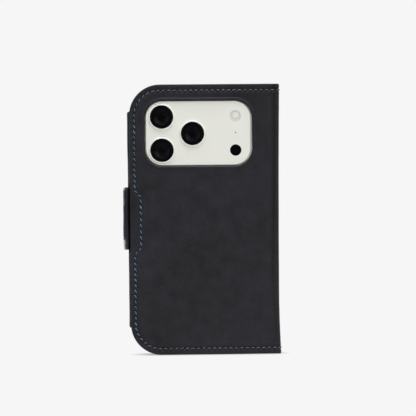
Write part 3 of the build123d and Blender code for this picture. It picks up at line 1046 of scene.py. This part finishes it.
def lining(side):
    """Navy lining of one panel and half of the spine."""
    word = "back" if side > 0 else "front"
    node = f"{word}_board"
    left = node_box(node)[0][0]
    inset = LINING_INSET_CASE + SOFT_RIM
    away_from_strap = TONGUE_HIGH[0] + 0.1

    def field(u, z):
        edge = panel_field(u, z) + inset
        if side > 0:
            notch = span_field(u, z, (LEFT - 20, STRAP_Z_LOW - 0.3),
                               (away_from_strap, STRAP_Z_HIGH + 0.3), 0.1)
            edge = np.maximum(edge, -notch)
        return edge

    def top(u, z):
        return -LEATHER - 0.02 - BOARD * board_lift(u, z, left)

    def bottom(u, z):
        puff = 0.05 * waves(u, z, 40 + side, 11.0) * smooth(1, 6, -panel_field(u, z))
        return top(u, z) - LINING + 0.04 + puff * (1 - smooth(ROLL_X - 4, ROLL_X, u))

    hole = (lambda u, z: window_field(u, z) - 1.0, half_round(SOFT_RIM)) if side > 0 else None
    piece = thick_sheet(
        f"{word}_lining_leather", even_lines(LEFT, SKIN_END, 0.7), even_lines(0.0, TOP, 0.9), field,
        place_case(side), top, bottom, half_round(SOFT_RIM), hole, (SKIN_END,),
        lambda u, z: np.abs(u - ROLL_X) < 4)
    finish_with(piece, NAVY)
    bend_round_spine(piece, side)
    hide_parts(*(("back_lining", "spine_lining") if side > 0 else ("front_lining",)))


def pocket_piece(node, name, field, seed):
    """One pocket layer: its mouth is burnished and stands a little proud."""
    low, high = node_box(node)
    near, far = FRONT_Y - high[1], FRONT_Y - low[1]

    def top(u, z):
        return np.full_like(np.asarray(u, float), -near - 0.02)

    def bottom(u, z):
        mouth = high[0] - u
        bow = 0.05 * waves(u, z, seed, 14.0) * smooth(0.5, 4, mouth)
        line = 0.07 * bell(mouth - 1.6, 0.35)
        return -far + 0.02 + bow * smooth(0, 3, -field(u, z)) + line

    piece = thick_sheet(name, even_lines(low[0], high[0], 0.6), even_lines(low[2], high[2], 0.8),
                        lambda u, z: field(u, z) + SOFT_RIM, place_case(-1), top, bottom,
                        half_round(SOFT_RIM), None, (), lambda u, z: np.abs(high[0] - 1.6 - u) < 1.2)
    finish_with(piece, NAVY)
    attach(piece, "cover")
    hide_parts(node)


def pockets():
    cash_low, cash_high = node_box("cash_pocket")
    pocket_piece("cash_pocket", "cash_pocket_leather",
                 lambda u, z: np.maximum(panel_field(u, z) + cash_low[0] - LEFT, u - cash_high[0]), 51)
    for number in (1, 2, 3):
        node = f"card_pocket_{number}"
        low, high = node_box(node)

        def field(u, z, low=low, high=high):
            rounded = span_field(u, z, low[[0, 2]], (high[0] + 9, high[2]), CARD_POCKET_R)
            return np.maximum(rounded, u - high[0])

        pocket_piece(node, f"{node}_leather", field, 60 + number)


lining(1)
lining(-1)
pockets()


# ---- camera details -----------------------------------------------------------------
def round_part(node):
    """A round node's centre, radius, and the Y of its face and of its back."""
    low, high = node_box(node)
    return ((low[0] + high[0]) / 2, (low[2] + high[2]) / 2), (high[0] - low[0]) / 2, low[1], high[1]


def lens_glass(number):
    """Black lens: a flat bezel, two stepped baffles and a domed front element."""
    node = f"phone_lens_glass_{number}"
    centre, radius, face, back = round_part(node)
    dome = [(2.3 * math.sin(a), face + 0.34 - 0.2 * math.cos(a)) for a in np.linspace(0, 1.4, 8)[1:]]
    profile = [(0, face + 0.14), *dome, (2.45, face + 0.36), (2.6, face + 0.36), (2.7, face + 0.3),
               (3.4, face + 0.28), (3.5, face + 0.2), (4.6, face + 0.18), (4.7, face + 0.06),
               (4.9, face + 0.04), (radius - 0.03, face), (radius, face + 0.03), (radius, back), (0, back)]
    glass = lathe(f"lens_glass_{number}", profile, centre)
    finish_with(glass, LENS)
    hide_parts(node)
    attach(glass, "back")


def flash():
    """Round flash: a grey outer ring, a fine groove and a warm domed lens."""
    centre, radius, face, back = round_part("phone_flash")
    dome = [(2.2 * math.sin(a), face + 0.24 - 0.22 * math.cos(a)) for a in np.linspace(0, 1.5, 8)[1:]]
    profile = [(0, face + 0.02), *dome, (2.25, face + 0.28), (2.5, face + 0.28), (2.6, face + 0.1),
               (2.7, face + 0.04), (radius - 0.1, face + 0.04), (radius, face + 0.14), (radius, back),
               (0, back)]
    lens = lathe("flash_glass", profile, centre)
    spots = np.array([v.co for v in lens.data.vertices]) / MM
    away = np.hypot(spots[:, 0] - centre[0], spots[:, 2] - centre[1])
    mark(lens, "edge", smooth(0.6, 2.3, away))
    finish_with(lens, FLASH)
    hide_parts("phone_flash")
    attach(lens, "back")


for number in (1, 2, 3):
    lens_glass(number)
flash()


# ---- finishes of the CAD pieces that show as they are -------------------------------
CAD_FINISH = (
    (CRADLE, ("cradle",)), (STEEL, ("cover_keeper",)), (MAGNET, ("tab_magnet",)),
    (SCREEN, ("phone_screen",)), (LENS, ("phone_sensor",)), (MIC, ("phone_mic",)),
    (BOARD_GREY, ("back_board", "front_board")),
    (HANDSET, ("phone_body", "phone_plateau", "phone_key_side", "phone_key_up", "phone_key_down",
               "phone_lens_ring_1", "phone_lens_ring_2", "phone_lens_ring_3")),
)
for material, nodes in CAD_FINISH:
    for node in nodes:
        finish_with(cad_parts[node], material)


# ---- floor, light and camera --------------------------------------------------------
BACKDROP = 0.922
FLOOR_SIZE = 0.9


def plain_floor():
    """Pale floor of the backdrop's own brightness, with a painted contact shadow only close under the case.
    """
    bpy.ops.mesh.primitive_plane_add(size=FLOOR_SIZE, location=(0, 0, -0.0002))
    floor = bpy.context.object
    floor.name = "floor"
    m = Nodes("pale_floor")
    open_sky = m.add("ShaderNodeAmbientOcclusion", {"Distance": 0.012}, samples=8).outputs["AO"]
    # painted contact shadow: the glow dims to a warm grey where occlusion is high
    shade = m.colours(m.ramp(open_sky, 0.0, 1.0, 0.0, 0.85), (0.30, 0.29, 0.28), (BACKDROP,) * 3)
    m.link("Emission Color", shade)
    m.link("Roughness", m.ramp(m.noise(30.0), 0.9, 1.0))
    m.fix(Base_Color=(0, 0, 0, 1), Specular_IOR_Level=0.0, Emission_Strength=1.0)
    floor.data.materials.append(m.material)


def studio_world():
    """Even pale backdrop, which lights the case only a little."""
    world = bpy.data.worlds.new("studio")
    bpy.context.scene.world = world
    world.use_nodes = True
    nodes, links = world.node_tree.nodes, world.node_tree.links
    light = nodes["Background"]
    light.inputs["Color"].default_value = (1, 1, 1, 1)
    light.inputs["Strength"].default_value = 0.07
    backdrop = nodes.new("ShaderNodeBackground")
    backdrop.inputs["Color"].default_value = (BACKDROP,) * 3 + (1,)
    mix = nodes.new("ShaderNodeMixShader")
    links.new(nodes.new("ShaderNodeLightPath").outputs["Is Camera Ray"], mix.inputs["Fac"])
    links.new(light.outputs["Background"], mix.inputs[1])
    links.new(backdrop.outputs["Background"], mix.inputs[2])
    links.new(mix.outputs["Shader"], nodes["World Output"].inputs["Surface"])


def soft_light(name, place, size, power, aim=(0, 0, 0.08)):
    data = bpy.data.lights.new(name, "AREA")
    data.shape = "RECTANGLE"
    data.size, data.size_y = size
    data.energy = power
    light = bpy.data.objects.new(name, data)
    light.location = place
    light.rotation_mode = "QUATERNION"
    light.rotation_quaternion = (Vector(aim) - Vector(place)).to_track_quat("-Z", "Y")
    light.visible_camera = False
    bpy.context.scene.collection.objects.link(light)


def camera():
    """Long lens, level with the case, a touch to its left and turned a touch clockwise."""
    data = bpy.data.cameras.new("camera")
    cam = bpy.data.objects.new("camera", data)
    bpy.context.scene.collection.objects.link(cam)
    distance, view_width, sensor = 1.2, 0.24394, 36.0
    yaw, roll = math.radians(2.0), math.radians(0.55)
    data.sensor_width = sensor
    data.lens = sensor * distance / view_width
    data.clip_start, data.clip_end = 0.05, 20.0
    aim = Vector((0.00356, BACK_Y * MM, 0.08582))
    away = Vector((-math.sin(yaw), -math.cos(yaw), 0.0))
    cam.location = aim + away * distance
    cam.rotation_mode = "QUATERNION"
    cam.rotation_quaternion = (-away).to_track_quat("-Z", "Y") @ Quaternion((0, 0, 1), -roll)
    bpy.context.scene.camera = cam


plain_floor()
studio_world()
LIGHTS = {                   # name: (place, width and height, watts)
    "left_front": ((-0.8, -1.0, 0.5), (0.6, 0.9), 4.0),
    "right_front": ((0.7, -1.05, 0.75), (0.6, 0.8), 7.3),
    "left_rear": ((-0.95, 0.8, 0.45), (0.6, 0.9), 7.0),
    "right_rear": ((1.0, 0.65, 0.45), (0.5, 0.9), 7.0),
    "overhead": ((0.05, -0.25, 1.15), (0.8, 0.5), 14.0),
}
for name, (place, size, power) in LIGHTS.items():
    soft_light(name, place, size, power)
camera()
bpy.context.scene.view_settings.view_transform = "Standard"
